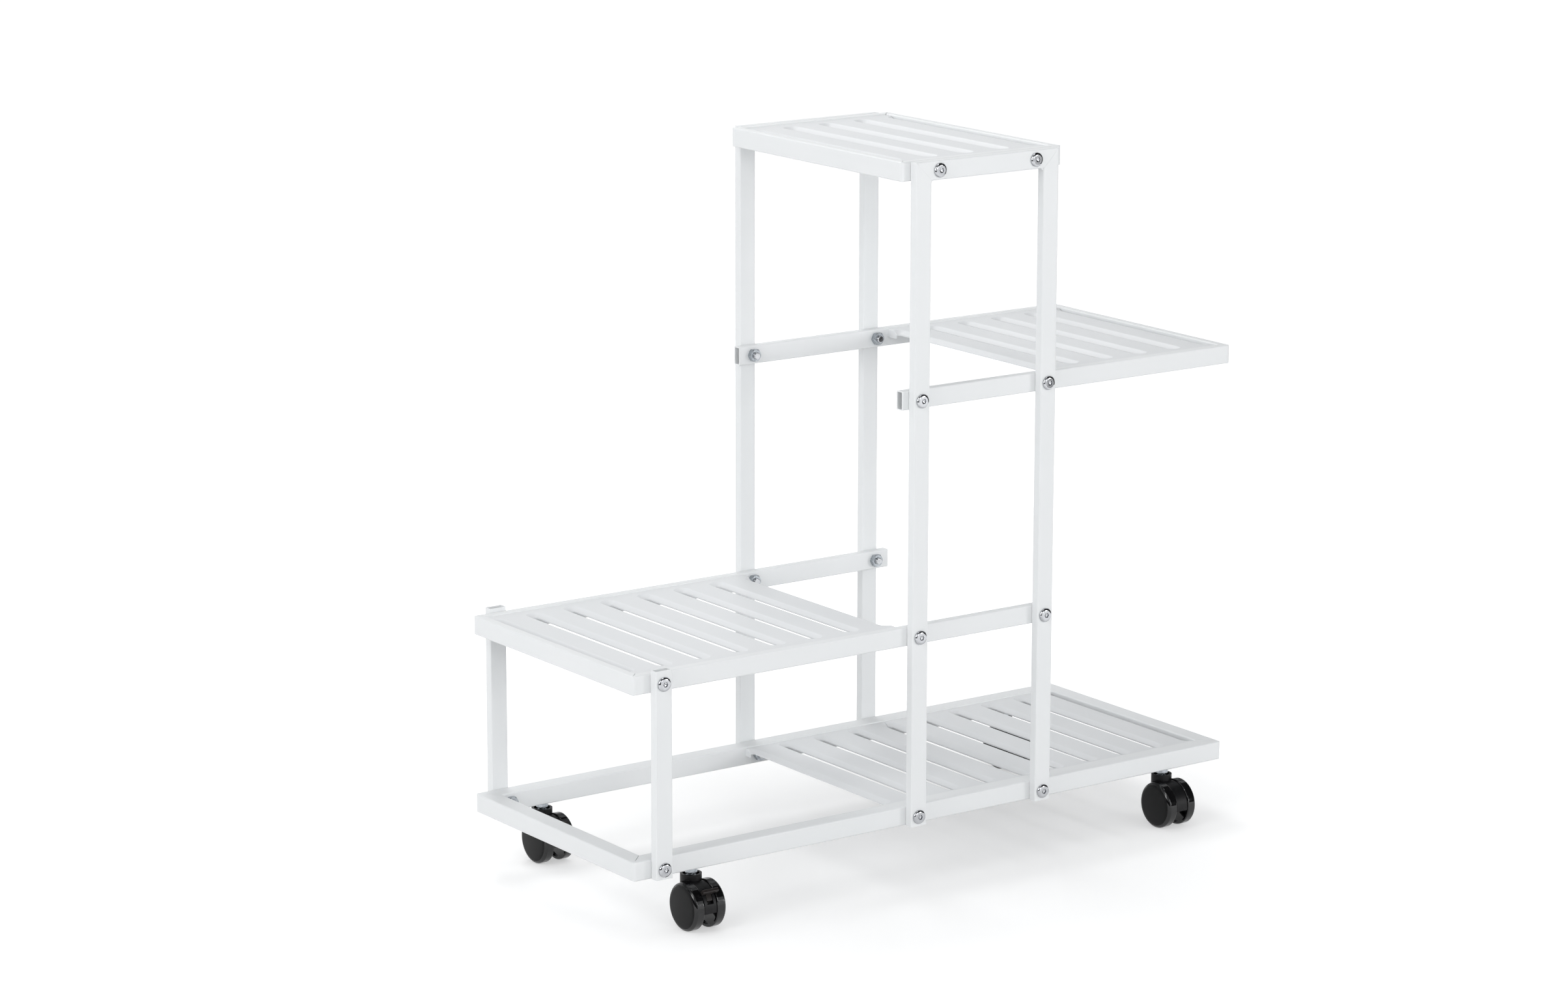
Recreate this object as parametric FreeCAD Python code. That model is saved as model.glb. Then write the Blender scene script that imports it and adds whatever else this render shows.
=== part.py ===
import FreeCAD, Part
import math
import os

# Rolling plant stand of powder-coated steel tube: a wheeled base frame, two tower frames,
# a low shelf to the left, a middle shelf to the right and a small top shelf between the towers.
# Millimetres, +X along the length, +Y to the back, +Z up, floor at zero.

# Overall sizes
overall_length = 615.0
overall_depth = 260.0
overall_height = 605.0

# Steel tube: flat tube for shelves and posts, square tube for the base
tube_width = 16.0
tube_depth = 8.0
tube_wall = 1.0
tube_edge_radius = 1.2
bend_radius = 3.0
slit_width = 0.5
slit_share = 0.7
weld_radius = 3.0
score_width = 0.2
score_depth = 0.12

# Levels of the shelf tops, and where the posts stand along the length
left_shelf_top = 218.5
right_shelf_top = 417.0
tower_inset = 270.5
tower_span = 147.0
short_post_inset = 16.5
short_post_rise = 3.0
arm_overhang = 6.0

# Pressed sheet panels with a row of slots that run front to back
sheet_thickness = 1.0
slot_pitch = 37.0
slot_width = 15.0
slot_gap = 6.0
slot_drop = 3.0
slot_roll = 2.0
shelf_slot_margin = 9.0
base_slot_margin = 3.0
panel_recess = 1.0
edge_search = 0.4
panel_end_gap = 0.4
ear_height = 7.0
ear_bend = 1.0
ear_clearance = 0.5
top_pitches = 4
left_pitches = 7
right_pitches = 5
base_left_pitches = 4
base_right_pitches = 5

# Bolts and nuts
bolt_diameter = 6.0
bolt_hole_clearance = 0.3
bolt_head_diameter = 11.8
bolt_head_height = 2.5
bolt_rim_height = 1.1
bolt_face_diameter = 8.0
bolt_dome_bulge = 0.35
bolt_end_chamfer = 0.6
socket_across_flats = 4.0
socket_depth = 1.4
socket_point = 0.9
nut_across_flats = 10.0
nut_thickness = 4.5
nut_chamfer = 0.7
nut_thread_clearance = 0.05
bolt_end_past_nut = 2.5
top_bolt_inset = 8.0

# Swivel casters
caster_inset = 60.5
caster_trail = 9.5
wheel_diameter = 40.0
wheel_width = 9.7
wheel_face_diameter = 30.8
wheel_cone_diameter = 36.4
wheel_cone_depth = 0.9
wheel_bevel = 2.4
wheel_edge = 0.6
hood_width = 12.0
hood_side_gap = 0.3
hood_drop = 3.0
hood_inset = 0.8
hood_edge_round = 0.6
cup_diameter = 17.8
cup_rise = 4.4
cup_wall = 2.0
cup_recess = 3.0
cup_wheel_gap = 0.6
axle_diameter = 5.0
axle_boss_wall = 3.0
axle_depth = 6.5
fixed_clearance = 0.02
running_clearance = 0.05
stem_diameter = 6.0
stem_in_tube = 11.0
stem_in_hood = 12.0
stem_collar_diameter = 9.0
stem_collar_height = 1.2
stem_nut_thickness = 3.8
stem_nut_gap = 0.8

# Brake lever of the two braked casters, measured from the axle
brake_angle = 42.0
brake_travel = 22.0
brake_pivot_radius = 12.5
brake_pin_diameter = 2.4
brake_pin_length = 10.0
brake_hub_diameter = 5.0
brake_arm_thickness = 3.0
brake_arm_width = 5.2
brake_slot_gap = 0.5
brake_slot_lift = 18.0
brake_plate_start = 16.4
brake_plate_drop = 4.5
brake_plate_inset = 0.2
brake_tab_width = 15.0
brake_tab_start = 21.4
brake_tab_end = 25.2

X_AXIS = FreeCAD.Vector(1, 0, 0)
Y_AXIS = FreeCAD.Vector(0, 1, 0)
Z_AXIS = FreeCAD.Vector(0, 0, 1)
CENTRE = FreeCAD.Vector(0, 0, 0)

# Places that follow from the sizes above
left_end = -overall_length / 2
right_end = overall_length / 2
post_face = overall_depth / 2 - bolt_head_height
rail_face = post_face - tube_depth
shelf_inner = rail_face - tube_depth
base_inner = rail_face - tube_width
tower_left = left_end + tower_inset
tower_right = tower_left + tower_span
tower_middle = (tower_left + tower_right) / 2
short_left = left_end + short_post_inset
wheel_radius = wheel_diameter / 2
cover_radius = wheel_radius - hood_inset
cup_top = wheel_diameter + cup_rise
base_bottom = cup_top + stem_nut_gap + stem_nut_thickness
base_top = base_bottom + tube_width
hole_radius = bolt_diameter / 2 + bolt_hole_clearance
caster_line = rail_face - tube_width / 2
caster_reach = caster_line + caster_trail + wheel_radius
# The casters trail forward, so the whole stand is moved back to sit centred on the origin
centring_shift = (caster_reach - overall_depth / 2) / 2
tower_bolt_xs = (tower_left + tube_width / 2, tower_right - tube_width / 2)
short_bolt_x = short_left + tube_width / 2
top_bolt_xs = (tower_left + tube_width + top_bolt_inset, tower_right - tube_width - top_bolt_inset)
base_bolt_z = base_bottom + tube_width / 2
left_bolt_z = left_shelf_top - tube_width / 2
right_bolt_z = right_shelf_top - tube_width / 2
top_bolt_z = overall_height - tube_width / 2
caster_xs = {"left": left_end + caster_inset, "right": right_end - caster_inset}
caster_ys = {"front": -caster_line, "back": caster_line}


def box(x0, x1, y0, y1, z0, z1):
    return Part.makeBox(x1 - x0, y1 - y0, z1 - z0, FreeCAD.Vector(x0, y0, z0))


def tube(length, width, height):
    """Open-ended tube along +X with rounded edges."""
    def solid(inset):
        block = box(0, length, inset, width - inset, inset, height - inset)
        along = [edge for edge in block.Edges if edge.Length > length - tube_wall / 2]
        return block.makeFillet(max(tube_edge_radius - inset, tube_edge_radius / 4), along)
    return solid(0).cut(solid(tube_wall))


def rail_x(x0, x1, y0, z0, width):
    rail = tube(x1 - x0, width, tube_width)
    rail.translate(FreeCAD.Vector(x0, y0, z0))
    return rail


def rail_y(y0, y1, x0, z0, width):
    rail = tube(y1 - y0, width, tube_width)
    rail.rotate(CENTRE, Z_AXIS, 90)
    rail.translate(FreeCAD.Vector(x0 + width, y0, z0))
    return rail


def post_z(z0, z1, x0, y0):
    post = tube(z1 - z0, tube_depth, tube_width)
    post.rotate(CENTRE, Y_AXIS, -90)
    post.translate(FreeCAD.Vector(x0 + tube_width, y0, z0))
    return post


def prism(points, direction):
    """Straight prism over a polygon of points."""
    face = Part.Face(Part.makePolygon(points + points[:1]))
    return face.extrude(direction)


def mitre_plan(points, z0):
    """Prism that trims a rail to its mitred plan."""
    corners = [FreeCAD.Vector(x, y, z0) for x, y in points]
    return prism(corners, FreeCAD.Vector(0, 0, tube_width))


def bend_slits(x0, x1, z0, width, closed_left, closed_right):
    """Thin cuts where a notched rail closes up at each bend; the outer wall stays whole."""
    reach = slit_share * width * math.sqrt(2)
    cuts = []
    for closed, end_x, inward in ((closed_left, x0, 1), (closed_right, x1, -1)):
        for side in (-1, 1):
            if closed:
                slit = box(-tube_wall, reach, -slit_width / 2, slit_width / 2, z0, z0 + tube_width)
                slit.rotate(CENTRE, Z_AXIS, math.degrees(math.atan2(side, -inward)))
                slit.translate(FreeCAD.Vector(end_x + inward * width, side * (rail_face - width), 0))
                cuts.append(slit)
    return cuts


def horizontal_frame(x0, x1, z0, width, closed_left, closed_right):
    """Rectangular or U-shaped frame of mitred rails; an end that isn't closed stays open tube."""
    left_mitre = width if closed_left else 0
    right_mitre = width if closed_right else 0
    inner = rail_face - width
    pieces = []
    for side in (-1, 1):
        rail = rail_x(x0, x1, min(side * rail_face, side * inner), z0, width)
        plan = [(x0, side * rail_face), (x1, side * rail_face)]
        plan += [(x1 - right_mitre, side * inner), (x0 + left_mitre, side * inner)]
        pieces.append(rail.common(mitre_plan(plan, z0)))
    for closed, end_x, inward in ((closed_left, x0, 1), (closed_right, x1, -1)):
        if closed:
            near_x = min(end_x, end_x + inward * width)
            rail = rail_y(-rail_face, rail_face, near_x, z0, width)
            plan = [(end_x, -rail_face), (end_x, rail_face)]
            plan += [(end_x + inward * width, inner), (end_x + inward * width, -inner)]
            pieces.append(rail.common(mitre_plan(plan, z0)))
    frame = pieces[0].multiFuse(pieces[1:]).removeSplitter()
    outline = box(x0, x1, -rail_face, rail_face, z0, z0 + tube_width)
    bent = []
    for edge in outline.Edges:
        upright = abs(edge.tangentAt(edge.FirstParameter).z) > 0.5
        at_left = edge.CenterOfMass.x < (x0 + x1) / 2
        if upright and (closed_left if at_left else closed_right):
            bent.append(edge)
    frame = frame.common(outline.makeFillet(bend_radius, bent))
    return frame.cut(bend_slits(x0, x1, z0, width, closed_left, closed_right))


def tower_frame(side):
    """Two posts and a crossbar, mitred and welded into an upside-down U."""
    near_y = min(side * post_face, side * rail_face)
    posts = [post_z(base_bottom, overall_height, tower_left, near_y)]
    posts.append(post_z(base_bottom, overall_height, tower_right - tube_width, near_y))
    bar = rail_x(tower_left, tower_right, near_y, overall_height - tube_width, tube_depth)
    top = overall_height
    under = overall_height - tube_width
    plans = [[(tower_left, base_bottom), (tower_left, top), (tower_left + tube_width, under)]]
    plans[0].append((tower_left + tube_width, base_bottom))
    plans.append([(tower_right, base_bottom), (tower_right, top), (tower_right - tube_width, under)])
    plans[1].append((tower_right - tube_width, base_bottom))
    plans.append([(tower_left, top), (tower_right, top), (tower_right - tube_width, under)])
    plans[2].append((tower_left + tube_width, under))
    pieces = []
    for member, plan in zip(posts + [bar], plans):
        corners = [FreeCAD.Vector(x, near_y, z) for x, z in plan]
        pieces.append(member.common(prism(corners, FreeCAD.Vector(0, tube_depth, 0))))
    weld_y0 = near_y + tube_edge_radius
    weld_y1 = near_y + tube_depth - tube_edge_radius
    for corner_x, inward in ((tower_left + tube_width, 1), (tower_right - tube_width, -1)):
        far_x = corner_x + inward * weld_radius
        low = under - weld_radius
        block = box(min(corner_x, far_x), max(corner_x, far_x), weld_y0, weld_y1, low, under)
        hollow = Part.makeCylinder(weld_radius, tube_depth, FreeCAD.Vector(far_x, near_y, low), Y_AXIS)
        pieces.append(block.cut(hollow))
    frame = pieces[0].multiFuse(pieces[1:]).removeSplitter()
    return frame.cut(mitre_scores(near_y))


def mitre_scores(near_y):
    """Shallow lines left along the welded mitres on both wide faces."""
    cuts = []
    run = tube_width * math.sqrt(2)
    for corner_x, turn in ((tower_left, 45), (tower_right, 135)):
        for y0 in (near_y - score_depth, near_y + tube_depth - score_depth):
            line = box(0, run, y0, y0 + 2 * score_depth, -score_width / 2, score_width / 2)
            line.rotate(CENTRE, Y_AXIS, turn)
            line.translate(FreeCAD.Vector(corner_x, 0, overall_height))
            cuts.append(line)
    return cuts


def short_post(side):
    near_y = min(side * post_face, side * rail_face)
    return post_z(base_bottom, left_shelf_top + short_post_rise, short_left, near_y)


def stadium(x, half_width, straight, z):
    """Closed outline of a slot that runs along Y."""
    a = FreeCAD.Vector(x - half_width, -straight, z)
    b = FreeCAD.Vector(x, -straight - half_width, z)
    c = FreeCAD.Vector(x + half_width, -straight, z)
    d = FreeCAD.Vector(x + half_width, straight, z)
    e = FreeCAD.Vector(x, straight + half_width, z)
    f = FreeCAD.Vector(x - half_width, straight, z)
    front = Part.Arc(a, b, c).toShape()
    back = Part.Arc(d, e, f).toShape()
    return Part.Wire([front, Part.makeLine(c, d), back, Part.makeLine(f, a)])


def slot_funnel(x, straight, z_high, half_high, z_low, half_low):
    outlines = [stadium(x, half_high, straight, z_high), stadium(x, half_low, straight, z_low)]
    return Part.makeLoft(outlines, True, True)


def panel(x_left, pitches, half_width, margin, rail_top, eared_ends):
    """Sheet with pressed-in slots, one cut in half at each end, and bent-down ears at its corners."""
    top = rail_top - panel_recess
    x_right = x_left + pitches * slot_pitch
    straight = half_width - margin - slot_width / 2
    run = (slot_width - slot_gap) / 2
    slope = run / slot_drop
    skin = sheet_thickness * math.hypot(run, slot_drop) / run
    sheet = box(x_left, x_right, -half_width, half_width, top - sheet_thickness, top)
    added = []
    removed = []
    for index in range(pitches + 1):
        x = x_left + index * slot_pitch
        under_top = top - sheet_thickness / 2
        under_low = top - slot_drop - sheet_thickness
        half_top = slot_width / 2 + slope * (skin - sheet_thickness / 2)
        half_low = slot_width / 2 + slope * (skin - slot_drop - sheet_thickness)
        added.append(slot_funnel(x, straight, under_top, half_top, under_low, half_low))
        removed.append(slot_funnel(x, straight, top, slot_width / 2, top - slot_drop, slot_gap / 2))
        through = Part.Face(stadium(x, slot_gap / 2, straight, top - slot_drop))
        removed.append(through.extrude(FreeCAD.Vector(0, 0, -2 * sheet_thickness)))
    ear_width = margin + run - ear_clearance
    ear_ends = []
    for x_end, inward, eared in ((x_left, 1, eared_ends[0]), (x_right, -1, eared_ends[1])):
        if eared:
            ear_ends.append(x_end)
            x0 = min(x_end, x_end + inward * sheet_thickness)
            for side in (-1, 1):
                y0 = min(side * half_width, side * (half_width - ear_width))
                x1 = x0 + sheet_thickness
                added.append(box(x0, x1, y0, y0 + ear_width, top - ear_height, top))
    trim = box(x_left, x_right, -half_width, half_width, top - ear_height, top)
    pressed = sheet.multiFuse(added).common(trim).cut(removed).removeSplitter()
    near = edge_search
    rims = top_edges(pressed, top, x_left + near, x_right - near, half_width - near)
    pressed = pressed.makeFillet(slot_roll, rims)
    bends = []
    for x_end in ear_ends:
        bends += top_edges(pressed, top, x_end - near, x_end + near, half_width)
    return pressed.makeFillet(ear_bend, bends)


def top_edges(shape, top, x0, x1, y_limit):
    """Edges in a sheet's top face whose middles lie within these limits."""
    found = []
    for edge in shape.Edges:
        middle = edge.CenterOfMass
        on_top = min(vertex.Z for vertex in edge.Vertexes) > top - edge_search / 2
        if on_top and x0 < middle.x < x1 and abs(middle.y) < y_limit:
            found.append(edge)
    return found


def hexagon(across_flats, z):
    """Hexagon in the XY plane with flats facing +Y and -Y."""
    radius = across_flats / math.sqrt(3)
    corners = []
    for index in range(6):
        angle = math.radians(60 * index)
        corners.append(FreeCAD.Vector(radius * math.cos(angle), radius * math.sin(angle), z))
    return corners


def bolt(grip):
    """Dome-head socket bolt along +Z; the head's seat is at zero, the head below it."""
    rim = bolt_head_diameter / 2
    face = bolt_face_diameter / 2
    rim_point = FreeCAD.Vector(rim, 0, -bolt_rim_height)
    face_point = FreeCAD.Vector(face, 0, -bolt_head_height)
    chord = face_point - rim_point
    outward = FreeCAD.Vector(-chord.z, 0, chord.x).normalize()
    middle = (rim_point + face_point) / 2 + outward * bolt_dome_bulge
    edges = [Part.makeLine(CENTRE, FreeCAD.Vector(rim, 0, 0))]
    edges.append(Part.makeLine(FreeCAD.Vector(rim, 0, 0), rim_point))
    edges.append(Part.Arc(rim_point, middle, face_point).toShape())
    edges.append(Part.makeLine(face_point, FreeCAD.Vector(0, 0, -bolt_head_height)))
    edges.append(Part.makeLine(FreeCAD.Vector(0, 0, -bolt_head_height), CENTRE))
    head = Part.Face(Part.Wire(edges)).revolve(CENTRE, Z_AXIS, 360)
    length = grip + nut_thickness + bolt_end_past_nut
    shank = Part.makeCylinder(bolt_diameter / 2, length)
    tip = [edge for edge in shank.Edges if edge.Closed and edge.CenterOfMass.z > length / 2]
    shank = shank.makeChamfer(bolt_end_chamfer, tip)
    socket = prism(hexagon(socket_across_flats, -bolt_head_height), FreeCAD.Vector(0, 0, socket_depth))
    point_base = FreeCAD.Vector(0, 0, socket_depth - bolt_head_height)
    point = Part.makeCone(socket_across_flats / 2, 0, socket_point, point_base)
    return head.fuse(shank).cut([socket, point]).removeSplitter()


def nut(thickness, bore_diameter):
    """Hexagon nut with both faces chamfered."""
    body = prism(hexagon(nut_across_flats, 0), FreeCAD.Vector(0, 0, thickness))
    blank = Part.makeCylinder(nut_across_flats / math.sqrt(3), thickness)
    blank = blank.makeChamfer(nut_chamfer, [edge for edge in blank.Edges if edge.Closed])
    bore_radius = bore_diameter / 2 + nut_thread_clearance
    return body.common(blank).cut(Part.makeCylinder(bore_radius, thickness))


def lay_along_y(shape, side, x, y, z):
    """Turn a +Z fastener to point inwards from one side of the stand and put it in place."""
    placed = shape.copy()
    placed.rotate(CENTRE, X_AXIS, 90 * side)
    placed.translate(FreeCAD.Vector(x, y, z))
    return placed


def drill(shape, places):
    """Clear bolt holes right through along Y."""
    holes = []
    for x, z in places:
        start = FreeCAD.Vector(x, -overall_depth, z)
        holes.append(Part.makeCylinder(hole_radius, 2 * overall_depth, start, Y_AXIS))
    return shape.cut(holes)


def at_caster(shape, x, y):
    placed = shape.copy()
    placed.translate(FreeCAD.Vector(x, y, 0))
    return placed


def caster_polar(radius, angle):
    """Point on the caster's middle plane, by distance from the axle and angle up from the front."""
    turn = math.radians(angle)
    y = -caster_trail - radius * math.cos(turn)
    return FreeCAD.Vector(0, y, wheel_radius + radius * math.sin(turn))


def disc(radius, x0, x1):
    """Cylinder about the axle line."""
    return Part.makeCylinder(radius, x1 - x0, FreeCAD.Vector(x0, -caster_trail, wheel_radius), X_AXIS)


def hood(braked):
    """Caster body: a curved cover between the wheels with the stem cup on its back."""
    half = hood_width / 2
    low_z = wheel_radius - hood_drop
    cover = disc(cover_radius, -half, half)
    cover = cover.common(box(-half, half, -overall_depth, overall_depth, low_z, wheel_diameter))
    arcs = [edge for edge in cover.Edges if edge.Curve.TypeId == "Part::GeomCircle"]
    cover = cover.makeFillet(hood_edge_round, arcs)
    boss = disc(axle_diameter / 2 + axle_boss_wall, -half, half)
    cup_low = wheel_radius + math.sqrt(cover_radius ** 2 - caster_trail ** 2) - cup_wall
    cup = Part.makeCylinder(cup_diameter / 2, cup_top - cup_low, FreeCAD.Vector(0, 0, cup_low))
    room = wheel_radius + cup_wheel_gap
    cup = cup.cut([disc(room, half, cup_diameter), disc(room, -cup_diameter, -half)])
    body = cover.multiFuse([boss, cup])
    recess_floor = cup_top - cup_recess
    recess_radius = cup_diameter / 2 - cup_wall
    recess = Part.makeCylinder(recess_radius, cup_rise, FreeCAD.Vector(0, 0, recess_floor))
    bore_radius = stem_diameter / 2 + running_clearance
    bore_low = recess_floor - stem_in_hood - stem_nut_gap
    bore = Part.makeCylinder(bore_radius, cup_top - bore_low, FreeCAD.Vector(0, 0, bore_low))
    axle_bore = disc(axle_diameter / 2 + fixed_clearance, -half, half)
    body = body.cut([recess, bore, axle_bore])
    if braked:
        body = body.cut([brake_pocket(), brake_pin(running_clearance, hood_width)])
    return body.removeSplitter()


def brake_pin(clearance, length):
    start = caster_polar(brake_pivot_radius, brake_angle)
    start.x = -length / 2
    return Part.makeCylinder(brake_pin_diameter / 2 + clearance, length, start, X_AXIS)


def brake_pocket():
    """Slot in the cover that the lever's arm and face plate swing down in, open above the arm too."""
    width = brake_arm_width + 2 * brake_slot_gap
    reach = brake_arm_thickness / 2 + brake_slot_gap
    pivot = caster_polar(brake_pivot_radius, brake_angle)
    room = brake_hub_diameter / 2 + brake_slot_gap
    hub_room = Part.makeCylinder(room, width, FreeCAD.Vector(-width / 2, pivot.y, pivot.z), X_AXIS)
    cuts = []
    for turned in (brake_slot_lift, 0, -brake_travel / 2, -brake_travel):
        arm = brake_bar(width, brake_pivot_radius, -reach, reach)
        arm.rotate(pivot, X_AXIS, -turned)
        cuts.append(arm)
    for turned in (0, -brake_travel / 2, -brake_travel):
        plate = brake_bar(width, brake_plate_start - brake_slot_gap, -reach - brake_plate_drop, 0)
        plate.rotate(pivot, X_AXIS, -turned)
        cuts.append(plate)
    return hub_room.multiFuse(cuts)


def brake_bar(width, start_radius, low, high):
    """Bar along the lever's line out to the tab's end, between two heights across that line."""
    pivot = caster_polar(brake_pivot_radius, brake_angle)
    corner = FreeCAD.Vector(-width / 2, pivot.y - brake_tab_end + brake_pivot_radius, pivot.z + low)
    bar = Part.makeBox(width, brake_tab_end - start_radius, high - low, corner)
    bar.rotate(pivot, X_AXIS, -brake_angle)
    return bar


def brake_lever():
    """Hub, arm and pin with a face plate flush in the cover and a wide tab to step on."""
    pivot = caster_polar(brake_pivot_radius, brake_angle)
    half = brake_arm_width / 2
    reach = brake_arm_thickness / 2
    hub_base = FreeCAD.Vector(-half, pivot.y, pivot.z)
    hub = Part.makeCylinder(brake_hub_diameter / 2, 2 * half, hub_base, X_AXIS)
    arm = brake_bar(brake_arm_width, brake_pivot_radius, -reach, reach)
    plate = brake_bar(brake_arm_width, brake_plate_start, -reach - brake_plate_drop, 0)
    plate = plate.common(disc(cover_radius - brake_plate_inset, -half, half))
    tab = brake_bar(brake_tab_width, brake_pivot_radius, -reach, reach)
    crossing = [edge for edge in tab.Edges if abs(edge.tangentAt(edge.FirstParameter).x) > 0.5]
    crossing.sort(key=lambda edge: edge.CenterOfMass.distanceToPoint(pivot))
    tab = tab.makeFillet(brake_arm_thickness / 4, crossing[-2:])
    tab = tab.cut(disc(brake_tab_start, -hood_width, hood_width))
    return hub.multiFuse([arm.common(disc(brake_tab_start + running_clearance, -half, half)), plate, tab,
                          brake_pin(0, brake_pin_length)]).removeSplitter()


def wheel(side):
    """One of the caster's twin wheels: flat face, stepped bevel, plain tread, blind axle hole."""
    inner_x = hood_width / 2 + hood_side_gap
    outer_x = inner_x + wheel_width
    points = [(inner_x, 0), (inner_x, wheel_radius - wheel_edge), (inner_x + wheel_edge, wheel_radius)]
    points += [(outer_x - wheel_bevel, wheel_radius), (outer_x - wheel_cone_depth, wheel_cone_diameter / 2)]
    points += [(outer_x, wheel_face_diameter / 2), (outer_x, 0)]
    outline = [FreeCAD.Vector(side * x, 0, radius) for x, radius in points]
    face = Part.Face(Part.makePolygon(outline + outline[:1]))
    body = face.revolve(CENTRE, X_AXIS, 360)
    body.translate(FreeCAD.Vector(0, -caster_trail, wheel_radius))
    hole_end = inner_x + axle_depth + running_clearance
    hole = disc(axle_diameter / 2 + running_clearance, min(side * inner_x, side * hole_end),
                max(side * inner_x, side * hole_end))
    return body.cut(hole)


def axle():
    half = hood_width / 2 + hood_side_gap + axle_depth
    return disc(axle_diameter / 2, -half, half)


def stem():
    """Threaded stem with a collar that carries the load on the cup's floor."""
    floor_z = cup_top - cup_recess
    rod = Part.makeCylinder(stem_diameter / 2, base_bottom + stem_in_tube - floor_z + stem_in_hood,
                            FreeCAD.Vector(0, 0, floor_z - stem_in_hood))
    collar = Part.makeCylinder(stem_collar_diameter / 2, stem_collar_height,
                               FreeCAD.Vector(0, 0, floor_z + running_clearance))
    return rod.fuse(collar).removeSplitter()


nodes = {}

# Frames
tower_places = [(x, z) for x in tower_bolt_xs for z in (base_bolt_z, left_bolt_z, right_bolt_z)]
tower_places += [(x, top_bolt_z) for x in top_bolt_xs]
short_places = [(short_bolt_x, z) for z in (base_bolt_z, left_bolt_z)]
bolt_places = tower_places + short_places

base = horizontal_frame(left_end, right_end, base_bottom, tube_width, True, True)
stem_hole_radius = stem_diameter / 2 + bolt_hole_clearance
stem_holes = []
for x in caster_xs.values():
    for y in caster_ys.values():
        low = FreeCAD.Vector(x, y, base_bottom - tube_wall)
        stem_holes.append(Part.makeCylinder(stem_hole_radius, 2 * tube_wall + tube_depth, low))
nodes["base_frame"] = drill(base, bolt_places).cut(stem_holes)

left_low = left_shelf_top - tube_width
left_shelf = horizontal_frame(left_end, tower_right + arm_overhang, left_low, tube_depth, True, False)
nodes["left_shelf_frame"] = drill(left_shelf, bolt_places)

right_low = right_shelf_top - tube_width
right_shelf = horizontal_frame(tower_left - arm_overhang, right_end, right_low, tube_depth, False, True)
nodes["right_shelf_frame"] = drill(right_shelf, bolt_places)

top_half = top_pitches * slot_pitch / 2 + panel_end_gap + tube_depth
top_low = overall_height - tube_width
top_left = tower_middle - top_half
top_right = tower_middle + top_half
top_shelf = horizontal_frame(top_left, top_right, top_low, tube_depth, True, True)
nodes["top_shelf_frame"] = drill(top_shelf, bolt_places)

for name, side in (("front", -1), ("back", 1)):
    nodes[name + "_tower_frame"] = drill(tower_frame(side), bolt_places)
    nodes[name + "_short_post"] = drill(short_post(side), bolt_places)

# Panels, each with one end against a closed end of its frame
top_panel_x = tower_middle - top_pitches * slot_pitch / 2
both_ends = (True, True)
top_sheet = panel(top_panel_x, top_pitches, shelf_inner, shelf_slot_margin, overall_height, both_ends)
nodes["top_panel"] = top_sheet
left_panel_x = left_end + tube_depth + panel_end_gap
left_panel = panel(left_panel_x, left_pitches, shelf_inner, shelf_slot_margin, left_shelf_top, both_ends)
nodes["left_shelf_panel"] = left_panel
right_panel_x = right_end - tube_depth - panel_end_gap - right_pitches * slot_pitch
right_panel = panel(right_panel_x, right_pitches, shelf_inner, shelf_slot_margin, right_shelf_top,
                    both_ends)
nodes["right_shelf_panel"] = right_panel
deck_right_x = right_end - tube_width - panel_end_gap - base_right_pitches * slot_pitch
right_deck = panel(deck_right_x, base_right_pitches, base_inner, base_slot_margin, base_top, (False, True))
nodes["base_panel_right"] = right_deck
deck_left_x = deck_right_x - panel_end_gap - base_left_pitches * slot_pitch
left_deck = panel(deck_left_x, base_left_pitches, base_inner, base_slot_margin, base_top, (True, False))
nodes["base_panel_left"] = left_deck

# Bolts from outside and nuts inside, front and back
shelf_bolt = bolt(2 * tube_depth)
base_bolt = bolt(tube_depth + tube_width)
plain_nut = nut(nut_thickness, bolt_diameter)
shelf_bolts = []
base_bolts = []
nuts = []
for side in (-1, 1):
    for x, z in bolt_places:
        at_base = z == base_bolt_z
        nut_y = base_inner if at_base else shelf_inner
        group = base_bolts if at_base else shelf_bolts
        group.append(lay_along_y(base_bolt if at_base else shelf_bolt, side, x, side * post_face, z))
        nuts.append(lay_along_y(plain_nut, side, x, side * nut_y, z))
nodes["shelf_bolts"] = Part.makeCompound(shelf_bolts)
nodes["base_bolts"] = Part.makeCompound(base_bolts)
nodes["hex_nuts"] = Part.makeCompound(nuts)

# Casters
stem_nut = nut(stem_nut_thickness, stem_diameter)
stem_nut.translate(FreeCAD.Vector(0, 0, base_bottom - stem_nut_thickness))
stems = []
stem_nuts = []
for end, x in caster_xs.items():
    for face, y in caster_ys.items():
        name = face + "_" + end
        braked = end == "left"
        nodes[name + "_caster_hood"] = at_caster(hood(braked), x, y)
        nodes[name + "_axle"] = at_caster(axle(), x, y)
        nodes[name + "_wheel_a"] = at_caster(wheel(-1), x, y)
        nodes[name + "_wheel_b"] = at_caster(wheel(1), x, y)
        if braked:
            nodes[name + "_brake_lever"] = at_caster(brake_lever(), x, y)
        stems.append(at_caster(stem(), x, y))
        stem_nuts.append(at_caster(stem_nut, x, y))
nodes["caster_stems"] = Part.makeCompound(stems)
nodes["stem_nuts"] = Part.makeCompound(stem_nuts)

os.makedirs("parts", exist_ok=True)
for name, shape in nodes.items():
    shape.translate(FreeCAD.Vector(0, centring_shift, 0))
    shape.exportStep("parts/" + name + ".step")
    print(name, len(shape.Solids), shape.isValid(), round(shape.Volume, 1))
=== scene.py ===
import math
import bpy
from mathutils import Matrix, Vector


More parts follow.
